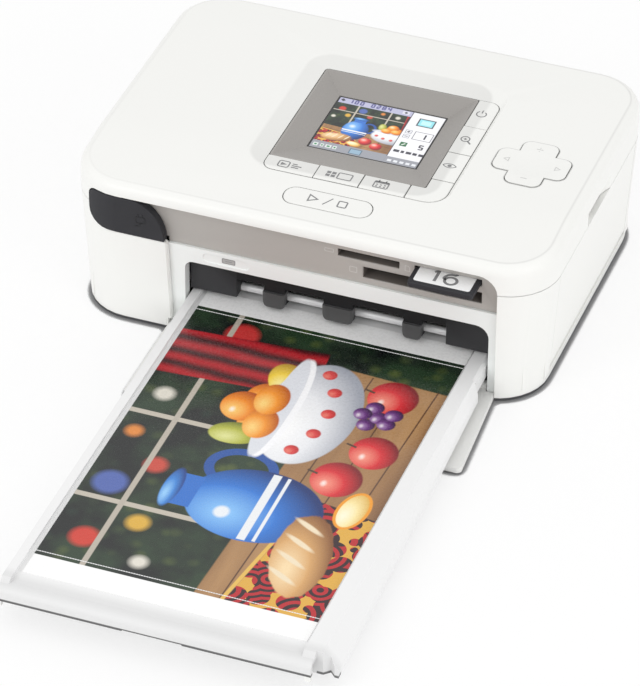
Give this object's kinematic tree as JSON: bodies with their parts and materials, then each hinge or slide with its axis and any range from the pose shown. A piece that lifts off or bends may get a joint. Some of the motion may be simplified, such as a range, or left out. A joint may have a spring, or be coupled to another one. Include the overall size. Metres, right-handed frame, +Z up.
{
  "type": "compact photo printer",
  "caption": "Compact photo printer with a display and keys on top, card slots in front, and a paper cassette with a print on it.",
  "frame": {"origin": "middle of the whole part on the table under it, between the back of the body and the front end of the cassette", "axes": "+X to the right of the body seen from the front, +Y from the cassette towards the back of the body, +Z up"},
  "size_m": [0.178, 0.295, 0.0606],
  "materials": {
    "white_casing": "satin moulded plastic",
    "white_keys": "satin moulded plastic",
    "warm_grey": "fine satin",
    "charcoal": "fine matt",
    "cassette_white": "slightly milky satin",
    "door_white": "satin",
    "base_grey": "matt",
    "rubber": "matt",
    "display_glass": "gloss",
    "circuit_board": "satin solder mask",
    "steel": "brushed",
    "gear_plastic": "matt",
    "brass": "turned",
    "aluminium": "cast and milled",
    "cartridge_grey": "matt",
    "ribbon_film": "glossy film",
    "paper": "smooth",
    "print_paper": "glossy print"
  },
  "bodies": {
    "housing": {"base_plate": "base_grey", "rubber_feet": "rubber", "lower_case": "white_casing", "top_cover": "white_casing", "display_bezel": "warm_grey", "display_panel": "display_glass", "key_corner": "white_keys", "key_board": "circuit_board", "card_panel": "warm_grey", "card_reader": "charcoal", "front_frame": "white_casing", "paper_guide": "charcoal", "cable_drum": "charcoal", "cartridge_case": "cartridge_grey", "ink_ribbon": "ribbon_film", "left_plate": "steel", "right_plate": "steel", "main_motor": "steel", "main_board": "circuit_board", "power_inlet": "charcoal", "tie_bars": "steel", "case_screws": "steel"},
    "key_power": {"key_power": "white_keys"},
    "key_zoom": {"key_zoom": "white_keys"},
    "key_eye": {"key_eye": "white_keys"},
    "key_mode": {"key_mode": "white_keys"},
    "key_layout": {"key_layout": "white_keys"},
    "key_date": {"key_date": "white_keys"},
    "key_start": {"key_start": "white_keys"},
    "cross_pivot": {"cross_pivot": "white_keys"},
    "cross_key": {"cross_key": "white_keys"},
    "memory_card": {"memory_card": "charcoal"},
    "cable_cap": {"cable_cap": "charcoal"},
    "slot_door": {"slot_door": "door_white", "door_rod": "steel"},
    "side_cover": {"side_cover": "white_casing", "cover_rod": "steel"},
    "cassette": {"cassette_tray": "cassette_white", "cassette_lid": "cassette_white", "lift_springs": "steel", "paper_stack": "paper"},
    "lift_plate": {"lift_plate": "steel"},
    "print": {"print": "print_paper"},
    "exit_roller": {"exit_shaft": "steel", "exit_sleeves": "rubber", "exit_gear": "gear_plastic"},
    "pickup_roller": {"pickup_shaft": "steel", "pickup_sleeves": "rubber", "pickup_gear": "gear_plastic"},
    "grip_roller": {"grip_roller": "steel", "grip_gear": "gear_plastic"},
    "pinch_roller": {"pinch_roller": "rubber"},
    "platen": {"platen_shaft": "steel", "platen_sleeve": "rubber"},
    "motor_rotor": {"motor_pinion": "brass"},
    "print_head": {"print_head": "aluminium", "head_arms": "steel", "head_rod": "steel"},
    "supply_spool": {"supply_spool": "ribbon_film"},
    "takeup_spool": {"takeup_spool": "ribbon_film"}
  },
  "joints": [
    {"name": "power_press", "type": "slide", "parent": "housing", "child": "key_power", "axis": [0, 0, -1], "range_m": [0, 0.0007], "stiffness_N_per_m": 300, "springref_m": -0.0005},
    {"name": "zoom_press", "type": "slide", "parent": "housing", "child": "key_zoom", "axis": [0, 0, -1], "range_m": [0, 0.0007], "stiffness_N_per_m": 300, "springref_m": -0.0005},
    {"name": "eye_press", "type": "slide", "parent": "housing", "child": "key_eye", "axis": [0, 0, -1], "range_m": [0, 0.0007], "stiffness_N_per_m": 300, "springref_m": -0.0005},
    {"name": "mode_press", "type": "slide", "parent": "housing", "child": "key_mode", "axis": [0, 0, -1], "range_m": [0, 0.0007], "stiffness_N_per_m": 300, "springref_m": -0.0005},
    {"name": "layout_press", "type": "slide", "parent": "housing", "child": "key_layout", "axis": [0, 0, -1], "range_m": [0, 0.0007], "stiffness_N_per_m": 300, "springref_m": -0.0005},
    {"name": "date_press", "type": "slide", "parent": "housing", "child": "key_date", "axis": [0, 0, -1], "range_m": [0, 0.0007], "stiffness_N_per_m": 300, "springref_m": -0.0005},
    {"name": "start_press", "type": "slide", "parent": "housing", "child": "key_start", "axis": [0, 0, -1], "range_m": [0, 0.0007], "stiffness_N_per_m": 300, "springref_m": -0.0005},
    {"name": "cross_front_back", "type": "hinge", "parent": "housing", "child": "cross_pivot", "pos_m": [0.0646, 0.0806, 0.057], "axis": [1, 0, 0], "range_deg": [-1.4, 1.4], "stiffness_Nm_per_rad": 0.15},
    {"name": "cross_left_right", "type": "hinge", "parent": "cross_pivot", "child": "cross_key", "pos_m": [0.0646, 0.0806, 0.057], "axis": [0, 1, 0], "range_deg": [-1.4, 1.4], "stiffness_Nm_per_rad": 0.15},
    {"name": "card_pull", "type": "slide", "parent": "housing", "child": "memory_card", "axis": [0, -1, 0], "range_m": [0, 0.024]},
    {"name": "cap_pull", "type": "slide", "parent": "housing", "child": "cable_cap", "axis": [0, -1, 0], "range_m": [0, 0.03]},
    {"name": "slot_door_hinge", "type": "hinge", "parent": "housing", "child": "slot_door", "pos_m": [0, 0.0254, 0.0029], "axis": [-1, 0, 0], "range_deg": [0, 2.2]},
    {"name": "side_cover_hinge", "type": "hinge", "parent": "housing", "child": "side_cover", "pos_m": [0.08444, 0.084, 0.0066], "axis": [0, 1, 0], "range_deg": [0, 88]},
    {"name": "cassette_pull", "type": "slide", "parent": "housing", "child": "cassette", "axis": [0, -1, 0], "range_m": [0, 0.06]},
    {"name": "lift_plate_hinge", "type": "hinge", "parent": "cassette", "child": "lift_plate", "pos_m": [0, -0.0055, 0.00695], "axis": [-1, 0, 0], "range_deg": [0, 0.7], "stiffness_Nm_per_rad": 6, "springref_deg": -0.57, "deforming": ["lift_springs"]},
    {"name": "print_pull", "type": "slide", "parent": "cassette", "child": "print", "axis": [0, -0.9914, 0.1305], "range_m": [0, 0.15]},
    {"name": "grip_turn", "type": "hinge", "parent": "housing", "child": "grip_roller", "pos_m": [0, 0.06154, 0.0152], "axis": [1, 0, 0], "continuous": true},
    {"name": "pickup_turn", "type": "hinge", "parent": "housing", "child": "pickup_roller", "pos_m": [0, 0.04783, 0.0196], "axis": [1, 0, 0], "continuous": true},
    {"name": "exit_turn", "type": "hinge", "parent": "housing", "child": "exit_roller", "pos_m": [0, 0.0335, 0.0159], "axis": [1, 0, 0], "continuous": true},
    {"name": "pinch_turn", "type": "hinge", "parent": "housing", "child": "pinch_roller", "pos_m": [0, 0.06154, 0.0211], "axis": [1, 0, 0], "continuous": true},
    {"name": "motor_turn", "type": "hinge", "parent": "housing", "child": "motor_rotor", "pos_m": [0, 0.06779, 0.02602], "axis": [1, 0, 0], "continuous": true},
    {"name": "platen_turn", "type": "hinge", "parent": "housing", "child": "platen", "pos_m": [0, 0.093, 0.0122], "axis": [1, 0, 0], "continuous": true},
    {"name": "print_head_lift", "type": "hinge", "parent": "housing", "child": "print_head", "pos_m": [0, 0.132, 0.0404], "axis": [-1, 0, 0], "range_deg": [0, 2.5]},
    {"name": "takeup_turn", "type": "hinge", "parent": "housing", "child": "takeup_spool", "pos_m": [0, 0.115, 0.029], "axis": [1, 0, 0], "continuous": true},
    {"name": "supply_turn", "type": "hinge", "parent": "housing", "child": "supply_spool", "pos_m": [0, 0.071, 0.029], "axis": [1, 0, 0], "continuous": true}
  ],
  "couplings": [
    {"joint": "pickup_turn", "follows": "grip_turn", "ratio": -0.8},
    {"joint": "exit_turn", "follows": "grip_turn", "ratio": 0.94118},
    {"joint": "pinch_turn", "follows": "grip_turn", "ratio": -1.25},
    {"joint": "motor_turn", "follows": "grip_turn", "ratio": -4},
    {"joint": "platen_turn", "follows": "grip_turn", "ratio": 0.5},
    {"joint": "takeup_turn", "follows": "supply_turn", "ratio": 1.48}
  ]
}
